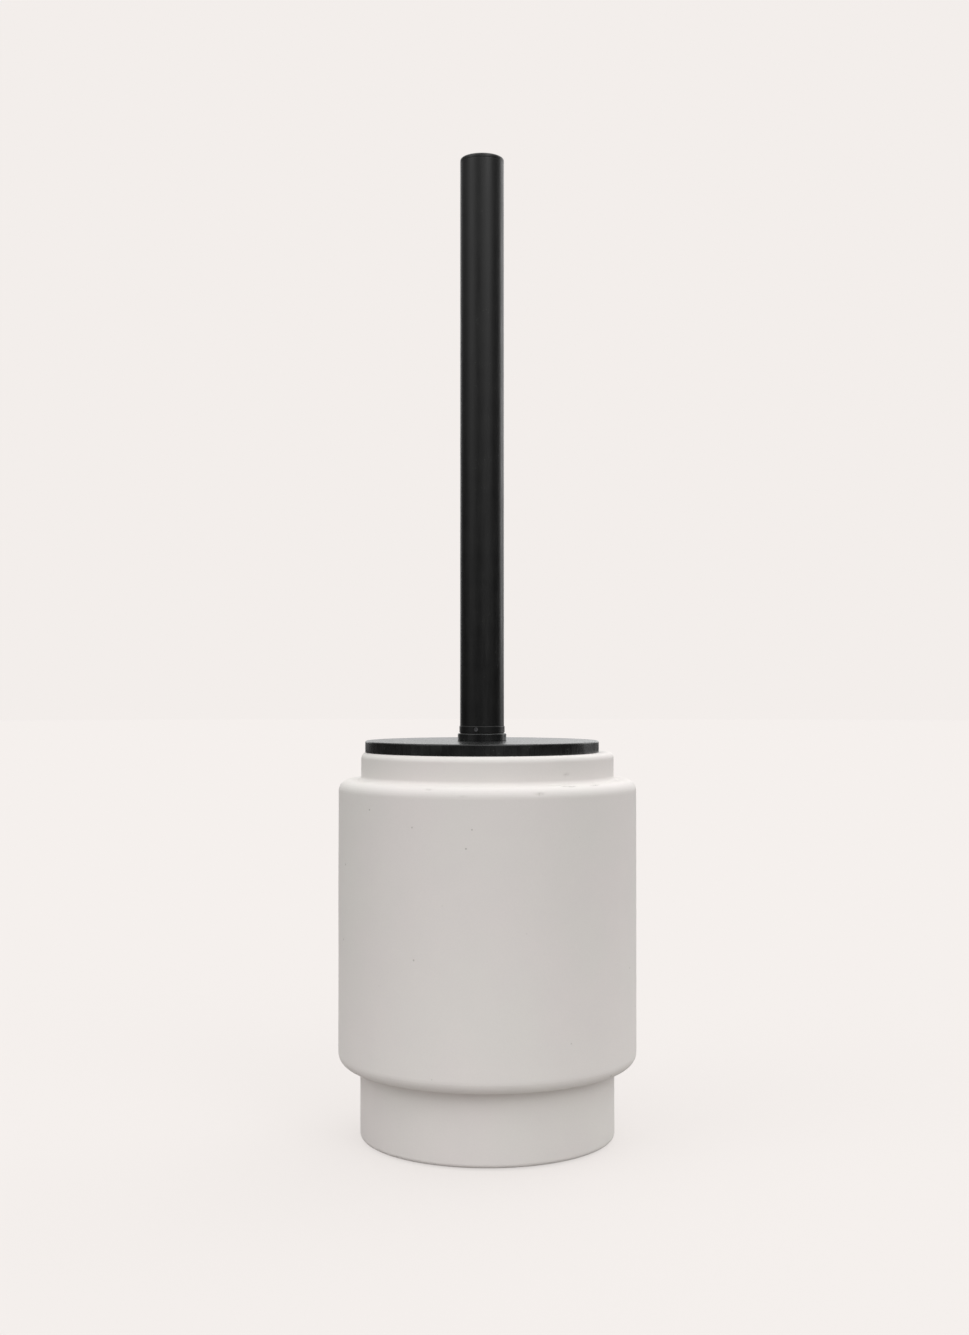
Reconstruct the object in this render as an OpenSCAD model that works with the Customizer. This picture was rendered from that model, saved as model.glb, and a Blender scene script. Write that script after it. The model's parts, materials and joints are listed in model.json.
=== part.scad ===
// Free-standing toilet brush holder: a round pot with a recessed foot, and a brush
// that hangs in it from a loose lid. Millimetres, +Z up. The origin is on the floor,
// on the pot's axis, and the front faces -Y.

/* [Pot] */
// Diameter of the pot's body
body_d = 110; // [108:1:130]
// Height of the rim above the floor
rim_z = 141.6; // [136:0.2:170]
// Height of the body's underside above the floor
body_z = 27.2; // [20:0.2:36]
// Height of the collar that stands above the shoulder
collar_h = 10; // [7:0.5:14]
// How far the foot stands in from the body
foot_inset = 8.1; // [7:0.1:9]
// How far the collar stands in from the body
collar_inset = 8.3; // [7.5:0.1:9]
// Thickness of the pot's wall and floor
wall = 6; // [5:0.25:7]
// Radius of the mouth
mouth_r = 39.5; // [39:0.25:40.5]
// Radius of the edge between wall and shoulder
shoulder_round = 4; // [1:0.5:5]
// Radius of the edge between wall and underside
under_round = 4.6; // [1:0.2:5]

/* [Anti-slip ring] */
// How far the soft ring stands in from the foot's side
ring_inset = 4.6; // [3.6:0.2:8]
// Width of the soft ring
ring_w = 5; // [3:0.5:6]
// Thickness of the soft ring
ring_t = 2; // [1.6:0.1:2.6]
// Height that the soft ring stands out of its groove
ring_proud = 0.6; // [0.3:0.1:1]

/* [Lid] */
// Diameter of the lid
lid_d = 86.5; // [86:0.5:88]
// Height of the lid's edge
lid_h = 4.2; // [3.4:0.1:5]
// Thickness of the lid's sheet metal
lid_sheet = 1.2; // [0.8:0.1:1.5]
// How far the brush and lid stand to the left of the pot's axis
brush_offset = 2; // [0:0.1:2]
// Play between the lid's locating ring and the mouth
mouth_play = 2.6; // [2.4:0.1:4]
// Diameter of the bush flange on top of the lid
flange_d = 18; // [17.6:0.2:22]
// Height of the bush flange on top of the lid
flange_h = 2.75; // [2:0.05:4]

/* [Handle] */
// Height of the handle's top above the floor
handle_top_z = 362.5; // [330:0.5:400]
// Outer diameter of the handle tube
tube_d = 16.3; // [16:0.1:17]
// Wall of the handle tube
tube_wall = 0.8; // [0.6:0.1:1]
// Diameter of the step ring under the tube
step_d = 16.8; // [16.6:0.1:17.6]
// Height of the step ring under the tube
step_h = 2.4; // [2.2:0.1:4]
// Angle of the locking screw from the front towards the left
screw_angle = 16; // [0:1:90]

/* [Brush head] */
// Radius of the ring that the tuft ends lie on
head_r = 36; // [32:0.5:36.5]
// Radius of the drilled core
core_r = 13; // [13:0.5:15]
// Height of the lowest tuft end above the floor
head_z = 14; // [13:0.5:18]
// Spacing of the tuft rows
row_pitch = 9.5; // [8.5:0.1:10.5]
// Tufts in one row
row_tufts = 16; // [10:1:16]
// Radius of a tuft where it leaves the core
tuft_root_r = 1.5; // [1.2:0.1:1.6]
// Radius of a tuft at its splayed end
tuft_tip_r = 4; // [2:0.2:4.4]

/* [Hidden] */
$fn = 96;

// Fits: pieces of one body, and the neck that turns in its bush
seat_gap = 0.05;
turn_gap = 0.05;
through = 1;

// Pot
body_r = body_d / 2;
foot_r = body_r - foot_inset;
collar_r = body_r - collar_inset;
shoulder_z = rim_z - collar_h;
inner_r = body_r - wall;
foot_inner_r = foot_r - wall;
pot_z = ring_proud;
floor_z = pot_z + wall + 1;
ledge_z = body_z + wall;
ceiling_z = shoulder_z - wall;
foot_edge_round = 1.5;
under_crease = 1;
shoulder_crease = 1.5;
rim_outer_round = 2.2;
rim_inner_round = 1.2;
lip_round = 1.5;
inside_round = 5;
recess_r = 32;
recess_depth = 1.2;
groove_depth = ring_t - ring_proud;
ring_outer_r = foot_r - ring_inset;
ring_inner_r = ring_outer_r - ring_w;

// Lid
lid_r = lid_d / 2;
lid_top = rim_z + lid_h;
lid_edge_round = 0.5;
plate_r = lid_r - lid_sheet - seat_gap;
plate_top = lid_top - lid_sheet - seat_gap;
locating_r = mouth_r - mouth_play;
locating_wall = 2.4;
locating_h = 6;
boss_r = 13;
boss_h = 3;
neck_r = 6;
bush_bore_r = neck_r + turn_gap;
sleeve_r = 8;
sleeve_hole_r = sleeve_r + seat_gap;
nut_h = 4.5;
nut_flats = 22;
nut_corner_r = nut_flats / 2 / cos(30);
nut_slope = 1.6;
sleeve_z = rim_z - boss_h - nut_h - 0.5;
flange_top = lid_top + flange_h;
flange_round = 0.4;

// Handle
washer_t = 0.3;
washer_z = flange_top + turn_gap;
step_z = washer_z + washer_t;
step_r = step_d / 2;
tube_z = step_z + step_h;
tube_r = tube_d / 2;
tube_inner_r = tube_r - tube_wall;
plug_r = tube_inner_r - seat_gap;
insert_l = 24;
cap_t = 1.6;
cap_plug_l = 12;
cap_round = 0.9;
cap_z = handle_top_z - cap_t;
step_round = 0.25;
stud_r = 4;
stud_hole_r = stud_r + seat_gap;
stud_up = 18;
stud_down = 20;
stud_end_gap = 1;
screw_r = 0.75;
screw_hole_r = screw_r + seat_gap;
screw_recess = 0.35;
screw_socket_r = 0.4;
screw_socket_depth = 0.7;
front = 270;

// Neck and head
rows = 6;
stop_r = 8;
stop_h = 3;
stop_z = sleeve_z - 0.3;
shank_r = 7;
spigot_r = 5;
spigot_l = 22;
tuft_depth = 4;
hole_gap = 0.05;
tip_l = 12;
dome_h = 8;
dome_z = head_z + tip_l;
core_z = dome_z + dome_h;
first_row_z = core_z + 3;
core_top = first_row_z + (rows - 1) * row_pitch + 9;
core_chamfer = 3;
staple_w = 2.2;
staple_t = 0.4;
staple_h = 1.2;
staple_gap = 0.05;
arc_steps = 8;

// The dome is part of a sphere through the core's edge and its end
dome_sphere_r = (core_r * core_r + dome_h * dome_h) / (2 * dome_h);
dome_centre_z = dome_z + dome_sphere_r;

// Rings of tufts on the dome: tufts in the ring, where they leave the dome and how they
// point, both as angles below level, and their free length
tip_rings = [
    [10, 40, 30, 22],
    [5, 66, 62, 13],
    [1, 90, 90, tip_l],
];

// Points along an arc, from one angle to another
function arc(x, z, r, from, to) = [
    for (i = [0:arc_steps])
        let (a = from + (to - from) * i / arc_steps)
            [x + r * cos(a), z + r * sin(a)]
];

// Turned pot. Its outline runs from the centre of the underside, up the outside, over the
// rim and down the inside to the floor
module pot() {
    color([0.80, 0.78, 0.76])
        rotate_extrude()
            polygon(concat(
                [
                    [0, pot_z + recess_depth],
                    [recess_r - recess_depth, pot_z + recess_depth],
                    [recess_r, pot_z],
                    [ring_inner_r - seat_gap, pot_z],
                    [ring_inner_r - seat_gap, pot_z + groove_depth],
                    [ring_outer_r + seat_gap, pot_z + groove_depth],
                    [ring_outer_r + seat_gap, pot_z],
                ],
                arc(foot_r - foot_edge_round, pot_z + foot_edge_round, foot_edge_round, -90, 0),
                arc(foot_r + under_crease, body_z - under_crease, under_crease, 180, 90),
                arc(body_r - under_round, body_z + under_round, under_round, -90, 0),
                arc(body_r - shoulder_round, shoulder_z - shoulder_round, shoulder_round, 0, 90),
                arc(collar_r + shoulder_crease, shoulder_z + shoulder_crease, shoulder_crease, 270, 180),
                arc(collar_r - rim_outer_round, rim_z - rim_outer_round, rim_outer_round, 0, 90),
                arc(mouth_r + rim_inner_round, rim_z - rim_inner_round, rim_inner_round, 90, 180),
                arc(mouth_r + lip_round, ceiling_z + lip_round, lip_round, 180, 270),
                arc(inner_r - inside_round, ceiling_z - inside_round, inside_round, 90, 0),
                arc(inner_r - inside_round, ledge_z + inside_round, inside_round, 0, -90),
                arc(foot_inner_r + lip_round, ledge_z - lip_round, lip_round, 90, 180),
                arc(foot_inner_r - inside_round, floor_z + inside_round, inside_round, 0, -90),
                [[0, floor_z]]
            ));
}

// Flat soft ring, standing out of its groove
module anti_slip_ring() {
    color([0.20, 0.20, 0.20])
        difference() {
            cylinder(h = ring_t, r = ring_outer_r);
            translate([0, 0, -through])
                cylinder(h = ring_t + 2 * through, r = ring_inner_r);
        }
}

// Moves lid and brush pieces onto the brush's own axis
module on_brush_axis() {
    translate([-brush_offset, 0, 0])
        children();
}

// Pressed disc with a turned-down edge, hollow underneath
module lid_disc() {
    color([0.05, 0.05, 0.05])
        on_brush_axis()
            rotate_extrude()
                polygon(concat(
                    [
                        [sleeve_hole_r, lid_top - lid_sheet],
                        [lid_r - lid_sheet, lid_top - lid_sheet],
                        [lid_r - lid_sheet, rim_z],
                        [lid_r, rim_z],
                    ],
                    arc(lid_r - lid_edge_round, lid_top - lid_edge_round, lid_edge_round, 0, 90),
                    [[sleeve_hole_r, lid_top]]
                ));
}

// Plate that fills the disc, with a boss for the nut and a ring that finds the mouth
module lid_underplate() {
    color([0.08, 0.08, 0.08])
        on_brush_axis()
            rotate_extrude()
                polygon([
                    [sleeve_hole_r, rim_z - boss_h],
                    [boss_r, rim_z - boss_h],
                    [boss_r, rim_z],
                    [locating_r - locating_wall, rim_z],
                    [locating_r - locating_wall, rim_z - locating_h],
                    [locating_r - locating_wall / 4, rim_z - locating_h],
                    [locating_r, rim_z - locating_h + locating_wall / 2],
                    [locating_r, rim_z],
                    [plate_r, rim_z],
                    [plate_r, plate_top],
                    [sleeve_hole_r, plate_top],
                ]);
}

// Bush: a flange on the lid and a sleeve down through it
module lid_collar() {
    color([0.05, 0.05, 0.05])
        on_brush_axis()
            rotate_extrude()
                polygon(concat(
                    [
                        [bush_bore_r, sleeve_z],
                        [sleeve_r, sleeve_z],
                        [sleeve_r, lid_top],
                        [flange_d / 2, lid_top],
                    ],
                    arc(flange_d / 2 - flange_round, flange_top - flange_round, flange_round, 0, 90),
                    [[bush_bore_r, flange_top]]
                ));
}

// Hexagonal nut on the sleeve, under the boss, with its lower corners turned off
module lid_ring_nut() {
    color([0.12, 0.12, 0.12])
        on_brush_axis()
            translate([0, 0, rim_z - boss_h - nut_h])
                difference() {
                    intersection() {
                        cylinder(h = nut_h, r = nut_corner_r, $fn = 6);
                        cylinder(h = nut_h, r1 = nut_flats / 2, r2 = nut_flats / 2 + nut_h * nut_slope);
                    }
                    translate([0, 0, -through])
                        cylinder(h = nut_h + 2 * through, r = sleeve_hole_r);
                }
}

// Plain round tube between the step ring and the cap
module handle_tube() {
    color([0.05, 0.05, 0.05])
        on_brush_axis()
            translate([0, 0, tube_z])
                difference() {
                    cylinder(h = cap_z - tube_z, r = tube_r);
                    translate([0, 0, -through])
                        cylinder(h = cap_z - tube_z + 2 * through, r = tube_inner_r);
                }
}

// Plug with a flush head and a rounded edge
module handle_cap() {
    color([0.05, 0.05, 0.05])
        on_brush_axis()
            rotate_extrude()
                polygon(concat(
                    [
                        [0, cap_z - cap_plug_l],
                        [plug_r, cap_z - cap_plug_l],
                        [plug_r, cap_z],
                        [tube_r, cap_z],
                    ],
                    arc(tube_r - cap_round, handle_top_z - cap_round, cap_round, 0, 90),
                    [[0, handle_top_z]]
                ));
}

// Level cylinder at the locking screw's angle, between two radii
module along_screw(r, from, to, sides = $fn) {
    translate([0, 0, step_z + step_h / 2])
        rotate([0, 90, front - screw_angle])
            translate([0, 0, from])
                cylinder(h = to - from, r = r, $fn = sides);
}

// Threaded plug for the tube's foot, with a step ring below the tube
module handle_insert() {
    color([0.05, 0.05, 0.05])
        on_brush_axis()
            difference() {
                rotate_extrude()
                    polygon(concat(
                        [
                            [0, step_z],
                            [step_r, step_z],
                        ],
                        arc(step_r - step_round, tube_z - step_round, step_round, 0, 90),
                        [
                            [plug_r, tube_z],
                            [plug_r, tube_z + insert_l],
                            [0, tube_z + insert_l],
                        ]
                    ));
                translate([0, 0, step_z - through])
                    cylinder(h = stud_up + stud_end_gap + through, r = stud_hole_r);
                along_screw(screw_hole_r, stud_r / 2, step_r + through);
            }
}

// Set screw with a hexagonal socket, tightened on the stud
module locking_screw() {
    color([0.10, 0.10, 0.10])
        on_brush_axis()
            difference() {
                along_screw(screw_r, stud_r + seat_gap, step_r - screw_recess);
                along_screw(screw_socket_r, step_r - screw_recess - screw_socket_depth, step_r, 6);
            }
}

// Thin washer that the handle turns on
module slip_washer() {
    color([0.10, 0.10, 0.10])
        on_brush_axis()
            translate([0, 0, washer_z])
                difference() {
                    cylinder(h = washer_t, r = step_r - step_round);
                    translate([0, 0, -through])
                        cylinder(h = washer_t + 2 * through, r = bush_bore_r);
                }
}

// Rod that joins insert and neck
module neck_stud() {
    color([0.70, 0.70, 0.72])
        on_brush_axis()
            translate([0, 0, step_z - stud_down])
                cylinder(h = stud_down + stud_up, r = stud_r);
}

// Neck: journal in the bush, stop flange, shank, and spigot in the core
module brush_neck() {
    color([0.08, 0.08, 0.08])
        on_brush_axis()
            difference() {
                rotate_extrude()
                    polygon([
                        [0, core_top - spigot_l],
                        [spigot_r, core_top - spigot_l],
                        [spigot_r, core_top],
                        [shank_r, core_top],
                        [shank_r, stop_z - stop_h],
                        [stop_r, stop_z - stop_h],
                        [stop_r, stop_z],
                        [neck_r, stop_z],
                        [neck_r, step_z],
                        [0, step_z],
                    ]);
                translate([0, 0, step_z - stud_down - stud_end_gap])
                    cylinder(h = stud_down + stud_end_gap + through, r = stud_hole_r);
            }
}

// Puts its children on the core's surface at a row, with +Z pointing out
module at_row(row) {
    turn = (row % 2) * 180 / row_tufts;
    for (i = [0:row_tufts - 1])
        rotate([0, 90, 360 / row_tufts * i + turn])
            translate([-first_row_z - row * row_pitch, 0, core_r])
                children();
}

// Puts its children on the dome's surface at a ring, with +Z pointing out
module at_tip_ring(ring) {
    count = tip_rings[ring][0];
    place = tip_rings[ring][1];
    for (i = [0:count - 1])
        rotate([0, 0, 360 / count * i + ring * 180 / count])
            translate([dome_sphere_r * cos(place), 0, dome_centre_z - dome_sphere_r * sin(place)])
                rotate([0, 90 + tip_rings[ring][2], 0])
                    children();
}

// Drilled core with a domed end and a socket for the neck
module head_core() {
    color([0.08, 0.08, 0.08])
        on_brush_axis()
            difference() {
                rotate_extrude()
                    polygon(concat(
                        arc(0, dome_centre_z, dome_sphere_r, -90, -acos(core_r / dome_sphere_r)),
                        [
                            [core_r, core_top - core_chamfer],
                            [core_r - core_chamfer, core_top],
                            [0, core_top],
                        ]
                    ));
                translate([0, 0, core_top - spigot_l - stud_end_gap])
                    cylinder(h = spigot_l + stud_end_gap + through, r = spigot_r + seat_gap);
                for (row = [0:rows - 1])
                    at_row(row)
                        tuft_hole();
                for (ring = [0:len(tip_rings) - 1])
                    at_tip_ring(ring)
                        tuft_hole();
            }
}

// Drilled hole for one tuft
module tuft_hole() {
    translate([0, 0, -tuft_depth])
        cylinder(h = tuft_depth + through, r = tuft_root_r + hole_gap);
}

// Staple that a tuft is folded over, at the bottom of its hole
module staple(gap = 0) {
    translate([-staple_w / 2 - gap, -staple_t / 2 - gap, -tuft_depth + hole_gap - gap])
        cube([staple_w + 2 * gap, staple_t + 2 * gap, staple_h + 2 * gap]);
}

// One tuft: a round root in its hole, splayed outside
module tuft(free_l, tip_r) {
    difference() {
        rotate_extrude($fn = 24)
            polygon([
                [0, hole_gap - tuft_depth],
                [tuft_root_r, hole_gap - tuft_depth],
                [tuft_root_r, hole_gap],
                [tip_r, free_l],
                [0, free_l],
            ]);
        staple(staple_gap);
    }
}

// One ring of tufts round the core
module bristle_row(row) {
    color([0.90, 0.90, 0.88])
        on_brush_axis()
            at_row(row)
                tuft(head_r - core_r, tuft_tip_r);
}

// Tufts on the domed end
module tip_bristles() {
    color([0.90, 0.90, 0.88])
        on_brush_axis()
            for (ring = [0:len(tip_rings) - 1])
                at_tip_ring(ring)
                    tuft(tip_rings[ring][3], (tuft_tip_r + tuft_root_r) / 2);
}

// All staples, one in each tuft hole
module tuft_staples() {
    color([0.80, 0.72, 0.45])
        on_brush_axis() {
            for (row = [0:rows - 1])
                at_row(row)
                    staple();
            for (ring = [0:len(tip_rings) - 1])
                at_tip_ring(ring)
                    staple();
        }
}

pot();
anti_slip_ring();
lid_disc();
lid_underplate();
lid_collar();
lid_ring_nut();
handle_tube();
handle_cap();
handle_insert();
locking_screw();
slip_washer();
neck_stud();
brush_neck();
head_core();
bristle_row(0);  // bristle_row_1
bristle_row(1);  // bristle_row_2
bristle_row(2);  // bristle_row_3
bristle_row(3);  // bristle_row_4
bristle_row(4);  // bristle_row_5
bristle_row(5);  // bristle_row_6
tip_bristles();
tuft_staples();
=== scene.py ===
"""Looks of a free-standing toilet brush holder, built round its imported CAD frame.

Metres, +Z up, front towards -Y.
"""
import json
import math
import random
from collections import defaultdict

import bmesh
import bpy
import numpy as np
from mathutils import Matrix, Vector, noise


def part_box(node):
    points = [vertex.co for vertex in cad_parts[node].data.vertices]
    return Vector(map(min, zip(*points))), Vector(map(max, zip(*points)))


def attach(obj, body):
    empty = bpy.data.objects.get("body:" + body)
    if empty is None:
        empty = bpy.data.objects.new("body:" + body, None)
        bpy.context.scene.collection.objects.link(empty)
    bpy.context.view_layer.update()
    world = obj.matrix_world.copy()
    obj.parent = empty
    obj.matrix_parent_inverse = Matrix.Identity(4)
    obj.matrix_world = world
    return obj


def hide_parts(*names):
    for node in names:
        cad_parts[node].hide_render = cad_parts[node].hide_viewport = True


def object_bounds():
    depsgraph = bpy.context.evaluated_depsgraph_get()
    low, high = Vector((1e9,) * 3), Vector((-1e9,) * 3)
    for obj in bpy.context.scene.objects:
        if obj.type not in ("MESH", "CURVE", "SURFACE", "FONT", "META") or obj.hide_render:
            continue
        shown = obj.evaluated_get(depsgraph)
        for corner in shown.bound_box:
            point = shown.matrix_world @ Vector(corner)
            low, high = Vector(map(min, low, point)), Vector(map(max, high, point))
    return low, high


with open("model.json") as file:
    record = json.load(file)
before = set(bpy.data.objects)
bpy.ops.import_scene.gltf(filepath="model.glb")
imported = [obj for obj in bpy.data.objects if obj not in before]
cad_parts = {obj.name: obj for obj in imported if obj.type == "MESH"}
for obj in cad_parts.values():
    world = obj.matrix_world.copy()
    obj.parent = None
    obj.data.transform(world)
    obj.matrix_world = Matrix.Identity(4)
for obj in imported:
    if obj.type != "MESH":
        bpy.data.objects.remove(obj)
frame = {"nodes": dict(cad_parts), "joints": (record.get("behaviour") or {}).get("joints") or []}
CAD_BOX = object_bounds()
SIZE = CAD_BOX[1] - CAD_BOX[0]
MM = 0.001

# The lid and brush stand on their own upright axis, a little left of the pot's
TURN_JOINT = next(j for j in frame["joints"] if j["name"] == "brush_turn")
BRUSH_X = TURN_JOINT["pos_m"][0]

# Camera, as shares of the whole height, and its lens
CAMERA_DISTANCE = 1.710
CAMERA_HEIGHT = 0.457
CAMERA_LEFT = 0.003
CAMERA_PITCH = math.radians(0.67)
CAMERA_LENS = 45

# Turned pieces. HOLD is how near to its ends a stretch gets extra points, so that flats stay flat
SEGMENTS = 192
POT_SEGMENTS = 360
HOLD = 0.08 * MM
LEAST_STRETCH = 4 * HOLD
SHARP = math.radians(35)
ROUND_STEPS = 3
ROUND_SHARE = 0.45
SAME_POINT = 10 * MM / 1000

# Pot: rounds on the edges of it and its ring, the spacing of its points, and a slow casting wobble that
# stays off its foot
POT_EDGE = 0.3 * MM
RING_EDGE = 0.3 * MM
POT_SPACING = 5 * MM
KNOCK_SPACING = 0.35 * MM
OUTSIDE_SHARE = 0.75
WORN_BAND = (0.895, 0.970)
WOBBLE = 0.09 * MM
WOBBLE_SIZE = 38 * MM
FOOT_CALM = 4 * MM

# Small knocks on the pot: degrees from the front towards the right, distance from the axis as a share of the
# pot's radius, height as a share of its height, then half length round the pot, half width and depth in mm
KNOCKS = [
    (33.8, 0.947, 0.9280, 1.5, 0.60, 0.34),
    (30.9, 0.940, 0.9285, 1.3, 0.55, 0.26),
    (32.0, 0.900, 0.9310, 1.0, 0.50, 0.14),
    (46.7, 0.947, 0.9280, 1.5, 0.60, 0.30),
    (44.0, 0.955, 0.9275, 1.0, 0.45, 0.16),
    (35.9, 0.849, 0.9534, 1.0, 0.50, 0.16),
    (18.9, 0.994, 0.9117, 1.1, 0.55, 0.24),
    (-22.2, 0.975, 0.9223, 1.0, 0.50, 0.16),
    (-9.0, 0.997, 0.9060, 1.0, 0.45, 0.08),
    (152.0, 0.965, 0.9250, 1.4, 0.55, 0.28),
    (-118.0, 0.955, 0.9270, 1.2, 0.55, 0.24),
    (96.0, 0.975, 0.9225, 1.2, 0.50, 0.20),
]
# Painted shade in the knocks: the point attribute that holds it, and the knock depth at which it is full
KNOCK_SHADE = "knock_shade"
KNOCK_FULL_SHADE_DEPTH = 0.3 * MM

# Bristles: filaments in a tuft, how deep they start in the core, how far they bulge on their way, how much
# a tuft's end is domed, and how uneven their turns, spread, ends and bends are
FILAMENTS = 36
FILAMENT_R = 0.21 * MM
FILAMENT_SIDES = 5
FILAMENT_RINGS = 4
GOLDEN_TURN = math.pi * (3 - math.sqrt(5))
ROOT_DEPTH_MM = 2.5
TUFT_BULGE = 0.45
TUFT_DOME_MM = 0.3
UNEVEN_TURN = 0.2
LEAST_SPREAD = 0.92
UNEVEN_END = 0.5 * MM
UNEVEN_BEND = 0.25 * MM

# A CAD tuft's end face, and its middle without the two ends, as shares of its length
END_SHARE = 0.02
MIDDLE_FROM = 0.12
MIDDLE_SHORT = 0.1

# Floor. The camera sees a glow plus a share that shadows darken. The light that the floor throws back onto
# the object fades from near to far
BACKDROP = (0.896, 0.855, 0.831)
FLOOR_R = 8
FLOOR_SEGMENTS = 128
FLOOR_DROP = 0.01 * MM
FLOOR_GLOW = 0.738
FLOOR_SHADE = 0.21
FLOOR_FADE = {"From Min": 0.20, "From Max": 0.65, "To Min": 0.48, "To Max": 0.05}

# The room's soft glows: name, degrees right of the camera, degrees above level, sharpness and strength
ROOM = [
    ("ceiling", 0, 90, 1, 1.06),
    ("overhead", 0, 90, 4, 1.12),
    ("left", -56, 33, 14, 2.45),
    ("right", 34, 33, 24, 4.20),
    ("front", 4, 26, 40, 1.60),
    ("back_right", 140, 35, 12, 1.90),
    ("low_right", 124, 8, 80, 4.60),
    ("low_back", 165, 8, 24, 1.90),
    ("low_left", -160, 8, 24, 1.80),
]


# ---- Outlines and turned pieces ----

def outline_of(node, axis_x):
    """The (radius, height) points round a turned CAD node's section, and whether they close into a loop."""
    mesh = frame["nodes"][node].data
    keys = []
    for v in mesh.vertices:
        radius = math.hypot(v.co.x - axis_x, v.co.y)
        keys.append((round(radius / SAME_POINT), round(v.co.z / SAME_POINT)))
    beside = defaultdict(set)
    for edge in mesh.edges:
        a, b = (keys[i] for i in edge.vertices)
        if a != b:
            beside[a].add(b)
            beside[b].add(a)
    ends = sorted(k for k, near in beside.items() if len(near) == 1)
    walk = [ends[0] if ends else min(beside)]
    while True:
        onward = [k for k in sorted(beside[walk[-1]]) if k not in walk[-2:] and k != walk[0]]
        if not onward:
            break
        walk.append(onward[0])
    points = [(r * SAME_POINT, z * SAME_POINT) for r, z in walk]
    if ends:
        points = [(0.0, points[0][1])] + points + [(0.0, points[-1][1])]
        points = [p for i, p in enumerate(points) if i == 0 or math.dist(p, points[i - 1]) > SAME_POINT]
    return points, not ends


def corners_of(points, closed):
    """Each point with the ones before and after it; None where an open outline ends."""
    last = len(points) - 1
    for i, point in enumerate(points):
        before = points[i - 1] if i or closed else None
        after = points[(i + 1) % len(points)] if i < last or closed else None
        yield before, point, after


def rounded(points, closed, radius):
    """The outline with a small round on each sharp corner."""
    made = []
    for before, point, after in corners_of(points, closed):
        if before is None or after is None:
            made.append(point)
            continue
        p, a, b = Vector(point), Vector(before), Vector(after)
        to_a, to_b = (a - p).normalized(), (b - p).normalized()
        if to_a.angle(-to_b) < SHARP:
            made.append(point)
            continue
        reach = min(radius, ROUND_SHARE * (a - p).length, ROUND_SHARE * (b - p).length)
        start, end = p + to_a * reach, p + to_b * reach
        for i in range(ROUND_STEPS + 1):
            t = i / ROUND_STEPS
            made.append(tuple(start * (1 - t) ** 2 + p * 2 * t * (1 - t) + end * t ** 2))
    return made


def filled_in(points, closed, spacing_at):
    """The outline with more points along each stretch, and next to its ends."""
    made = []
    for _, point, after in corners_of(points, closed):
        made.append(point)
        if after is None:
            continue
        start, end = Vector(point), Vector(after)
        length = (end - start).length
        if length < LEAST_STRETCH:
            continue
        along = (end - start) / length
        first, last = start + along * HOLD, end - along * HOLD
        steps = max(1, round((length - 2 * HOLD) / spacing_at((first + last) / 2)))
        made += [tuple(first.lerp(last, i / steps)) for i in range(steps + 1)]
    return made


def turned(name, points, closed, axis_x, segments):
    """The outline spun about an upright axis into one closed mesh."""
    build = bmesh.new()
    angles = [math.tau * i / segments for i in range(segments)]
    rings = []
    for radius, height in points:
        if radius < SAME_POINT:
            rings.append([build.verts.new((axis_x, 0, height))])
        else:
            rings.append([
                build.verts.new((axis_x + radius * math.cos(a), radius * math.sin(a), height))
                for a in angles
            ])
    follow = rings[1:] + ([rings[0]] if closed else [])
    for low, high in zip(rings, follow):
        for i in range(segments):
            j = (i + 1) % segments
            ring = (low[i % len(low)], low[j % len(low)], high[j % len(high)], high[i % len(high)])
            build.faces.new(tuple(dict.fromkeys(ring)))
    bmesh.ops.recalc_face_normals(build, faces=build.faces)
    return as_object(name, build)


def as_object(name, build):
    """A new object from a bmesh, smooth except at sharp edges."""
    mesh = bpy.data.meshes.new(name)
    build.to_mesh(mesh)
    build.free()
    mesh.shade_smooth()
    mesh.set_sharp_from_angle(angle=SHARP)
    piece = bpy.data.objects.new(name, mesh)
    bpy.context.scene.collection.objects.link(piece)
    return piece


def turned_piece(name, node, body, edge, segments=SEGMENTS, spacing_at=lambda place: math.inf):
    """A finely turned piece in place of a CAD node, with small rounds on its edges."""
    axis_x = 0 if body == "holder" else BRUSH_X
    points, closed = outline_of(node, axis_x)
    points = filled_in(rounded(points, closed, edge), closed, spacing_at)
    piece = turned(name, points, closed, axis_x, segments)
    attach(piece, body)
    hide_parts(node)
    return piece


# ---- Materials ----

def add_node(tree, kind, inputs=(), **settings):
    """A new shader node. Each input is linked from a socket or set to a value."""
    made = tree.nodes.new("ShaderNode" + kind)
    for key, value in settings.items():
        setattr(made, key, value)
    for key, value in dict(inputs).items():
        if isinstance(value, bpy.types.NodeSocket):
            tree.links.new(value, made.inputs[key])
        else:
            made.inputs[key].default_value = value
    return made


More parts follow.
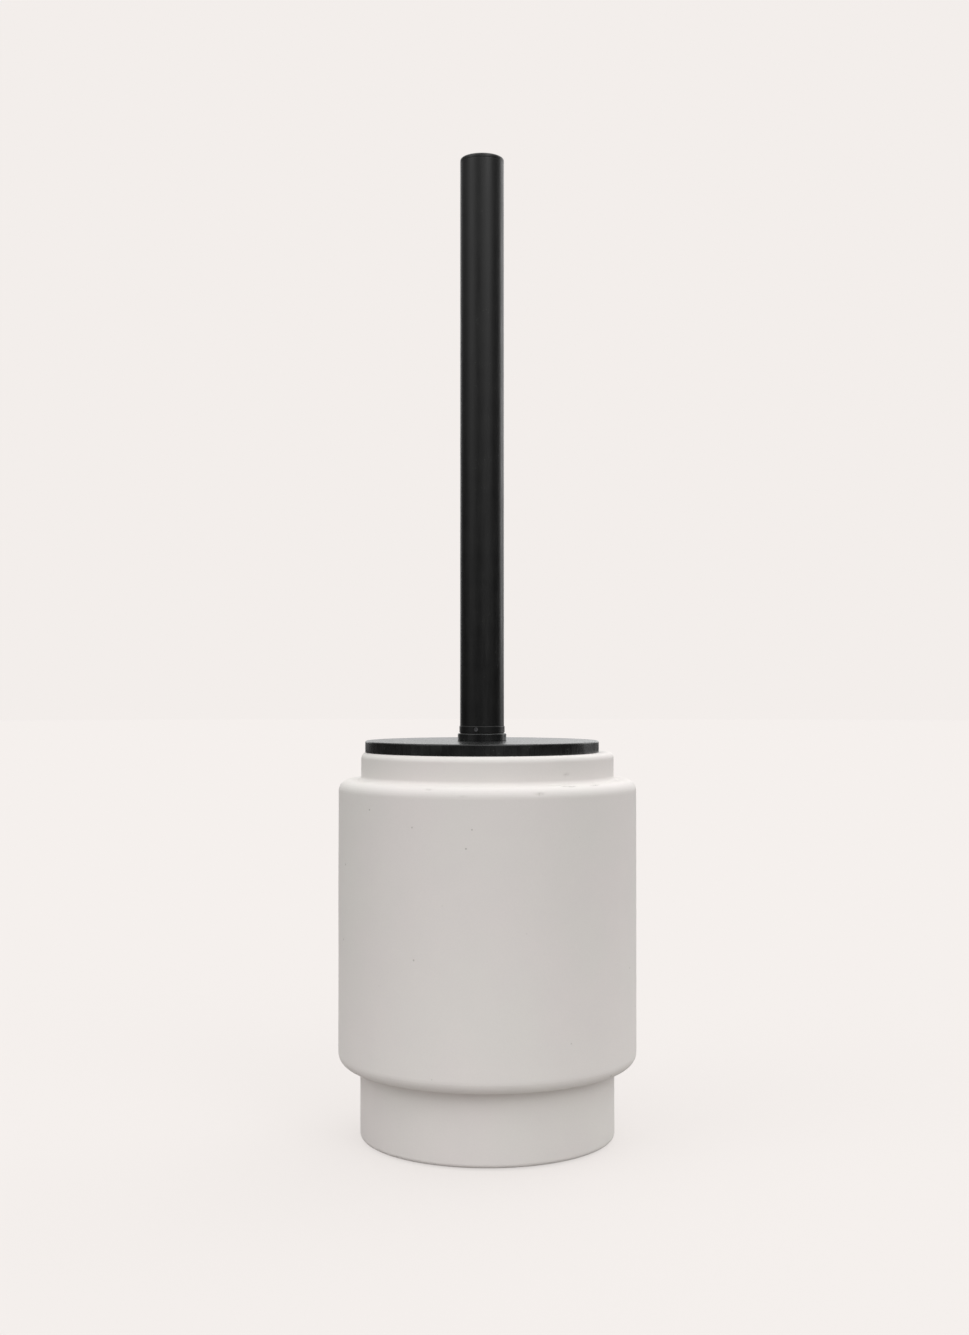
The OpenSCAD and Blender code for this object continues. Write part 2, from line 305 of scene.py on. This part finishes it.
class Surface:
    """A material made of patterns in the object's own space. Sizes are in millimetres."""

    def __init__(self, name, **fixed):
        self.material = bpy.data.materials.new(name)
        self.material.use_nodes = True
        self.tree = self.material.node_tree
        self.shader = self.tree.nodes["Principled BSDF"]
        self.place = self.node("TexCoord").outputs["Object"]
        self.relief = None
        for socket, value in fixed.items():
            self.shader.inputs[socket.replace("_", " ")].default_value = value

    def node(self, kind, inputs=(), **settings):
        return add_node(self.tree, kind, inputs, **settings)

    def drawn_out(self, times):
        """The place, with patterns drawn out this many times along Z."""
        return self.node("Mapping", {"Vector": self.place, "Scale": (1, 1, 1 / times)}).outputs[0]

    def noise(self, size, detail, place=None):
        inputs = {"Vector": place or self.place, "Scale": 1000 / size, "Detail": detail}
        return self.node("TexNoise", inputs).outputs["Fac"]

    def cells(self, size):
        """Distance from the nearest of many scattered points, about 0 to 1."""
        return self.node("TexVoronoi", {"Vector": self.place, "Scale": 1000 / size}).outputs["Distance"]

    def remap(self, value, low, high, to_low=0.0, to_high=1.0):
        inputs = {"Value": value, "From Min": low, "From Max": high, "To Min": to_low, "To Max": to_high}
        return self.node("MapRange", inputs, clamp=True).outputs[0]

    def maths(self, operation, a, b):
        return self.node("Math", {0: a, 1: b}, operation=operation).outputs[0]

    def mix(self, share, a, b):
        """Colour a, with this share of colour b. A colour is a socket, or red, green and blue."""
        a, b = ((*c, 1) if isinstance(c, tuple) else c for c in (a, b))
        return self.node("Mix", {0: share, 6: a, 7: b}, data_type="RGBA").outputs[2]

    def colour(self, value):
        self.tree.links.new(value, self.shader.inputs["Base Color"])

    def roughness(self, value):
        self.tree.links.new(value, self.shader.inputs["Roughness"])

    def bump(self, height, depth):
        """Adds relief: height from 0 to 1 stands for depth, in millimetres."""
        inputs = {"Height": height, "Distance": depth * MM, "Strength": 1.0}
        if self.relief:
            inputs["Normal"] = self.relief
        self.relief = self.node("Bump", inputs).outputs[0]
        self.tree.links.new(self.relief, self.shader.inputs["Normal"])


def stoneware():
    """Matte warm grey stoneware: faint pink and green clouds, fine grain, pits, and painted shade in the
    knocks.
    """
    s = Surface("matte_stoneware", IOR=1.45, Specular_IOR_Level=0.3)
    clouds = s.remap(s.noise(34, detail=2), 0.35, 0.65)
    patches = s.remap(s.noise(11, detail=3), 0.3, 0.7)
    grain = s.noise(0.55, detail=2)
    base = s.mix(clouds, (0.775, 0.735, 0.715), (0.765, 0.742, 0.711))
    base = s.mix(s.maths("MULTIPLY", patches, 0.35), base, (0.740, 0.710, 0.692))
    base = s.mix(s.remap(grain, 0.3, 0.7, 0.0, 0.10), base, (0.63, 0.60, 0.58))
    pits = s.remap(s.cells(7.5), 0.035, 0.06, 1.0, 0.0)
    pitted = s.remap(s.noise(13, detail=0), 0.50, 0.56)
    pits = s.maths("MULTIPLY", pits, pitted)
    base = s.mix(s.maths("MULTIPLY", pits, 0.45), base, (0.30, 0.28, 0.26))
    # Painted shade: darker in the knocks, the deeper the knock the darker, broken up by fine noise
    painted_shade = s.maths("MINIMUM", s.node("Attribute", attribute_name=KNOCK_SHADE).outputs["Fac"], 1.0)
    painted_shade = s.maths("MULTIPLY", painted_shade, s.remap(s.noise(0.9, detail=2), 0.35, 0.6, 0.35, 1.0))
    base = s.mix(s.maths("MULTIPLY", painted_shade, 0.75), base, (0.33, 0.30, 0.28))
    s.colour(base)
    s.roughness(s.remap(s.noise(3.0, detail=3), 0.3, 0.7, 0.66, 0.80))
    s.bump(grain, depth=0.012)
    s.bump(s.noise(4.5, detail=3), depth=0.03)
    s.bump(s.maths("SUBTRACT", 1.0, pits), depth=0.10)
    return s.material


def black_paint(name, tones, rough, peel, glint_and_dust_cover):
    """Satin black powder paint: orange peel, faint streaks along the piece, and pale specks that are partly
    dust and primer and partly painted glints.

    tones and rough are the lowest and highest values, peel is the depth of the orange peel, and the last
    argument is how much a pale speck covers.
    """
    s = Surface(name, IOR=1.5, Specular_IOR_Level=0.44)
    streaks = s.noise(1.2, detail=3, place=s.drawn_out(14))
    clouds = s.noise(7, detail=4)
    low, high = tones
    base = s.mix(s.remap(clouds, 0.35, 0.65), (low, low, low * 1.05), (high * 0.97, high, high * 0.98))
    # Pale specks: dust and primer, and also painted glints of light on the paint
    glint_and_dust_specks = s.remap(s.cells(1.3), 0.07, 0.14, 1.0, 0.0)
    glint_and_dust_specks = s.maths("MULTIPLY", glint_and_dust_specks, s.remap(s.noise(7, detail=2), 0.54, 0.64))
    s.colour(s.mix(s.maths("MULTIPLY", glint_and_dust_specks, glint_and_dust_cover), base, (0.20, 0.21, 0.20)))
    streaked = s.remap(streaks, 0.3, 0.7, *rough)
    clouded = s.remap(clouds, 0.3, 0.7, 0.0, 0.04)
    s.roughness(s.maths("ADD", streaked, clouded))
    s.bump(s.noise(0.8, detail=2), depth=peel)
    s.bump(glint_and_dust_specks, depth=0.02)
    return s.material


def moulded_plastic(name, tone, rough):
    """Moulded plastic with a fine spark-eroded grain and slight flow marks."""
    s = Surface(name, IOR=1.48, Specular_IOR_Level=0.45)
    flow = s.noise(8, detail=3, place=s.drawn_out(4))
    light = tuple(c * 1.6 for c in tone)
    s.colour(s.mix(s.remap(flow, 0.3, 0.7), tone, light))
    s.roughness(s.remap(s.noise(2.0, detail=3), 0.3, 0.7, rough - 0.06, rough + 0.08))
    s.bump(s.noise(0.30, detail=2), depth=0.010)
    return s.material


def soft_rubber():
    """Dark soft ring with a matte bloom and tiny pores."""
    s = Surface("soft_rubber", IOR=1.5, Specular_IOR_Level=0.3)
    bloom = s.noise(5, detail=4)
    s.colour(s.mix(s.remap(bloom, 0.3, 0.7), (0.030, 0.030, 0.030), (0.060, 0.058, 0.056)))
    s.roughness(s.remap(bloom, 0.3, 0.7, 0.75, 0.92))
    s.bump(s.remap(s.cells(0.6), 0.1, 0.4), depth=0.03)
    return s.material


def metal(name, tone, rough, drawn):
    """Bare metal with slight stains, and fine lines drawn out along the piece."""
    s = Surface(name, Metallic=1.0)
    lines = s.noise(0.35, detail=3, place=s.drawn_out(drawn))
    stains = s.noise(4, detail=3)
    dull = tuple(c * 0.72 for c in tone)
    s.colour(s.mix(s.remap(stains, 0.35, 0.7, 0.0, 0.6), tone, dull))
    s.roughness(s.remap(lines, 0.25, 0.75, rough - 0.08, rough + 0.12))
    s.bump(lines, depth=0.004)
    return s.material


def nylon():
    """White nylon filament, slightly milky, with small differences from one filament to the next."""
    s = Surface("nylon_filament", IOR=1.53, Specular_IOR_Level=0.5)
    tint = s.remap(s.noise(1.1, detail=2), 0.3, 0.7)
    s.colour(s.mix(tint, (0.80, 0.79, 0.76), (0.90, 0.89, 0.87)))
    s.roughness(s.remap(s.noise(0.8, detail=2), 0.3, 0.7, 0.30, 0.45))
    return s.material


def paint(piece, material):
    piece.data.materials.clear()
    piece.data.materials.append(material)


# ---- Pot ----

def pot_spacing(place):
    """Close rings of points only on the outside of the shoulder, where the knocks are."""
    radius, height = place
    low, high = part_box("pot")
    share = (height - low.z) / (high.z - low.z)
    outside = radius > OUTSIDE_SHARE * high.x
    return KNOCK_SPACING if outside and WORN_BAND[0] < share < WORN_BAND[1] else POT_SPACING


def age_pot(piece):
    """Moves the pot's points a little: a slow casting wobble, and small knocks, whose depth also sets the
    painted shade in them.
    """
    low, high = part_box("pot")
    height = high.z - low.z
    painted_shade = piece.data.attributes.new(KNOCK_SHADE, "FLOAT", "POINT").data
    normals = [v.normal.copy() for v in piece.data.vertices]
    for v, normal in zip(piece.data.vertices, normals):
        radius = math.hypot(v.co.x, v.co.y)
        if radius < SAME_POINT:
            continue
        up = v.co.z - low.z
        turn = math.degrees(math.atan2(v.co.x, -v.co.y))
        calm = min(1.0, max(0.0, (up - FOOT_CALM) / FOOT_CALM))
        wobble = WOBBLE * calm * noise.noise(v.co / WOBBLE_SIZE)
        sunk = 0.0
        for angle, out_share, up_share, half_l, half_w, depth in KNOCKS:
            along = math.radians((turn - angle + 180) % 360 - 180) * radius / (half_l * MM)
            across = math.hypot(radius - out_share * high.x, up - up_share * height) / (half_w * MM)
            near = math.exp(-along * along - across * across)
            sunk += depth * MM * near
            # Painted shade in the knock, as strong as the knock is deep
            painted_shade[v.index].value += near * (depth * MM) / KNOCK_FULL_SHADE_DEPTH
        v.co += Vector((v.co.x, v.co.y, 0)) * (wobble / radius) - normal * sunk


def make_pot():
    pot = turned_piece("pot_shell", "pot", "holder", POT_EDGE, POT_SEGMENTS, pot_spacing)
    age_pot(pot)
    paint(pot, stoneware())
    ring = turned_piece("soft_ring", "anti_slip_ring", "holder", RING_EDGE)
    paint(ring, soft_rubber())


# ---- Lid and handle ----

def make_lid_and_handle():
    """Finely turned pieces for the round nodes, and the other CAD nodes as they are."""
    lid_paint = black_paint(
        "black_paint_lid", tones=(0.005, 0.014), rough=(0.20, 0.30), peel=0.006, glint_and_dust_cover=0.45)
    tube_paint = black_paint(
        "black_paint_tube", tones=(0.0034, 0.0052), rough=(0.29, 0.38), peel=0.005, glint_and_dust_cover=0.15)
    plastic = moulded_plastic("black_plastic", tone=(0.010, 0.010, 0.010), rough=0.48)
    # Piece, CAD node, body, size of the rounds on its edges, material and slot
    turned_black = [
        ("lid_plate", "lid_disc", "lid", 0.15 * MM, lid_paint, "black_paint"),
        ("lid_insert", "lid_underplate", "lid", 0.25 * MM, plastic, "black_plastic"),
        ("lid_bush", "lid_collar", "lid", 0.15 * MM, lid_paint, "black_paint"),
        ("tube", "handle_tube", "brush", 0.12 * MM, tube_paint, "black_paint"),
        ("tube_cap", "handle_cap", "brush", 0.10 * MM, tube_paint, "black_paint"),
        ("washer", "slip_washer", "brush", 0.05 * MM, plastic, "black_plastic"),
        ("neck", "brush_neck", "brush", 0.35 * MM, plastic, "black_plastic"),
    ]
    for name, node, body, edge, material, slot in turned_black:
        piece = turned_piece(name, node, body, edge)
        paint(piece, material)
    kept = {
        "lid_ring_nut": plastic,
        "handle_insert": tube_paint,
        "locking_screw": metal("blackened_steel", tone=(0.26, 0.26, 0.27), rough=0.34, drawn=1),
        "neck_stud": metal("plated_steel", tone=(0.58, 0.58, 0.60), rough=0.30, drawn=20),
        "head_core": plastic,
        "tuft_staples": metal("drawn_brass", tone=(0.70, 0.54, 0.26), rough=0.32, drawn=1),
    }
    for node, material in kept.items():
        paint(frame["nodes"][node], material)


# ---- Bristles ----

def tufts_of(node):
    """Base centre, end centre, base radius and end radius of each tuft in a CAD node."""
    build = bmesh.new()
    build.from_mesh(frame["nodes"][node].data)
    bmesh.ops.remove_doubles(build, verts=build.verts, dist=SAME_POINT / 10)
    build.verts.index_update()
    left = set(build.verts)
    tufts = []
    while left:
        group, todo = set(), [min(left, key=lambda v: v.index)]
        while todo:
            v = todo.pop()
            if v in group:
                continue
            group.add(v)
            todo += [e.other_vert(v) for e in v.link_edges]
        left -= group
        co = np.array([v.co for v in sorted(group, key=lambda v: v.index)])
        tufts.append(tuft_shape(co))
    build.free()
    return sorted(tufts, key=lambda t: (round(t[0].z, 6), math.atan2(t[0].y, t[0].x - BRUSH_X)))


def tuft_shape(co):
    """Base centre, end centre, base radius and end radius of one tuft, from its points."""
    centre = co.mean(0)
    axis = np.linalg.svd(co - centre)[2][0]
    along = (co - centre) @ axis
    spread = np.linalg.norm(co - centre - np.outer(along, axis), axis=1)
    if spread[along > 0].max() < spread[along < 0].max():
        along = -along
    span = np.ptp(along)
    end = co[along > along.max() - END_SHARE * span]
    past_root = along > along.min() + MIDDLE_FROM * span
    short_of_end = along < along.max() - MIDDLE_SHORT * span
    middle = co[past_root & short_of_end]
    base_c, end_c = middle.mean(0), end.mean(0)
    base_r = np.linalg.norm(middle - base_c, axis=1).max()
    end_r = np.linalg.norm(end - end_c, axis=1).max()
    return Vector(base_c), Vector(end_c), base_r, end_r


def add_filament(build, start, bend, end):
    """A thin round filament along a curve from start to end, drawn towards bend in between."""
    rings = []
    for k in range(FILAMENT_RINGS):
        t = k / (FILAMENT_RINGS - 1)
        at = start * (1 - t) ** 2 + bend * 2 * t * (1 - t) + end * t ** 2
        ahead = ((bend - start) * (1 - t) + (end - bend) * t).normalized()
        side = ahead.orthogonal().normalized()
        other = ahead.cross(side)
        rings.append([
            build.verts.new(at + (side * math.cos(a) + other * math.sin(a)) * FILAMENT_R)
            for a in (math.tau * i / FILAMENT_SIDES for i in range(FILAMENT_SIDES))
        ])
    for low, high in zip(rings, rings[1:]):
        for i in range(FILAMENT_SIDES):
            j = (i + 1) % FILAMENT_SIDES
            build.faces.new((low[i], low[j], high[j], high[i]))
    build.faces.new(rings[0][::-1])
    build.faces.new(rings[-1])


def add_tuft(build, dice, base, end, base_r, end_r):
    """A tuft of filaments that spread evenly from a round root, with slightly uneven ends."""
    ahead = (end - base).normalized()
    side = ahead.orthogonal().normalized()
    other = ahead.cross(side)
    root = base - ahead * ROOT_DEPTH_MM * MM
    for i in range(FILAMENTS):
        share = math.sqrt((i + 0.5) / FILAMENTS)
        turn = i * GOLDEN_TURN + dice.uniform(-UNEVEN_TURN, UNEVEN_TURN)
        across = side * math.cos(turn) + other * math.sin(turn)
        start = root + across * share * (base_r - FILAMENT_R)
        tip = end + across * share * (end_r - 2 * FILAMENT_R) * dice.uniform(LEAST_SPREAD, 1.0)
        tip -= ahead * dice.uniform(0, UNEVEN_END)
        tip -= ahead * share * share * TUFT_DOME_MM * MM
        bend = start.lerp(base + across * share * base_r, 0.5) + ahead * (end - base).length * TUFT_BULGE
        bend += side * dice.gauss(0, UNEVEN_BEND) + other * dice.gauss(0, UNEVEN_BEND)
        add_filament(build, start, bend, tip)


def make_bristles():
    white = nylon()
    nodes = sorted(n for n in frame["nodes"] if n.startswith("bristle_row_")) + ["tip_bristles"]
    for number, node in enumerate(nodes):
        dice = random.Random(number)
        build = bmesh.new()
        for tuft in tufts_of(node):
            add_tuft(build, dice, *tuft)
        piece = as_object(node.replace("bristle", "filament"), build)
        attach(piece, "brush")
        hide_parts(node)
        paint(piece, white)


# ---- Floor, light and camera ----

def emptied(owner):
    """The node tree of a material or world, with nothing in it."""
    owner.use_nodes = True
    owner.node_tree.nodes.clear()
    return owner.node_tree


def make_floor():
    """A wide pale floor. The camera sees it as pale as the backdrop, with the object's soft shadow on it."""
    build = bmesh.new()
    bmesh.ops.create_circle(build, cap_ends=True, segments=FLOOR_SEGMENTS, radius=FLOOR_R)
    floor = as_object("floor", build)
    floor.location.z = CAD_BOX[0].z - FLOOR_DROP
    material = bpy.data.materials.new("pale_floor")
    tree = emptied(material)
    place = add_node(tree, "TexCoord").outputs["Object"]
    away = add_node(tree, "VectorMath", {0: place}, operation="LENGTH").outputs["Value"]
    faded = {"Value": away, **FLOOR_FADE}
    fade = add_node(tree, "MapRange", faded, interpolation_type="SMOOTHSTEP").outputs[0]
    tint = add_node(tree, "VectorMath", {0: BACKDROP, "Scale": fade}, operation="SCALE").outputs[0]
    bounce = add_node(tree, "BsdfDiffuse", {"Color": tint}).outputs[0]
    grey = tuple(c * FLOOR_SHADE for c in BACKDROP)
    shaded = add_node(tree, "BsdfDiffuse", {"Color": (*grey, 1)}).outputs[0]
    glow = add_node(tree, "Emission", {"Color": (*BACKDROP, 1), "Strength": FLOOR_GLOW}).outputs[0]
    shown = add_node(tree, "AddShader", {0: shaded, 1: glow}).outputs[0]
    seen = add_node(tree, "LightPath").outputs["Is Camera Ray"]
    either = add_node(tree, "MixShader", {0: seen, 1: bounce, 2: shown}).outputs[0]
    add_node(tree, "OutputMaterial", {"Surface": either})
    floor.data.materials.append(material)


def room_light(tree):
    """The sum of the room's soft glows in the direction looked in."""
    place = add_node(tree, "TexCoord").outputs["Generated"]
    total = 0
    for _, turn, lift, sharpness, strength in ROOM:
        turn, lift = math.radians(turn), math.radians(lift)
        level = math.cos(lift)
        towards = (math.sin(turn) * level, -math.cos(turn) * level, math.sin(lift))
        dot = add_node(tree, "VectorMath", {0: place, 1: towards}, operation="DOT_PRODUCT").outputs["Value"]
        facing = add_node(tree, "Math", {0: dot, 1: 0}, operation="MAXIMUM").outputs[0]
        glow = add_node(tree, "Math", {0: facing, 1: sharpness}, operation="POWER").outputs[0]
        total = add_node(tree, "Math", {0: glow, 1: strength, 2: total}, operation="MULTIPLY_ADD").outputs[0]
    return total


def make_room():
    """Soft light from all round, and a plain pale backdrop that only the camera sees."""
    world = bpy.data.worlds.new("room")
    bpy.context.scene.world = world
    tree = emptied(world)
    light = add_node(tree, "Background", {"Strength": room_light(tree)}).outputs[0]
    plain = add_node(tree, "Background", {"Color": (*BACKDROP, 1)}).outputs[0]
    seen = add_node(tree, "LightPath").outputs["Is Camera Ray"]
    either = add_node(tree, "MixShader", {0: seen, 1: light, 2: plain}).outputs[0]
    add_node(tree, "OutputWorld", {"Surface": either})


def make_camera():
    data = bpy.data.cameras.new("camera")
    data.lens = CAMERA_LENS
    camera = bpy.data.objects.new("camera", data)
    bpy.context.scene.collection.objects.link(camera)
    camera.location = (-CAMERA_LEFT * SIZE.z, -CAMERA_DISTANCE * SIZE.z, CAMERA_HEIGHT * SIZE.z)
    camera.rotation_euler = (math.pi / 2 + CAMERA_PITCH, 0, 0)
    bpy.context.scene.camera = camera


make_camera()
make_room()
make_floor()
make_pot()
make_lid_and_handle()
make_bristles()
bpy.context.scene.view_settings.view_transform = "Standard"
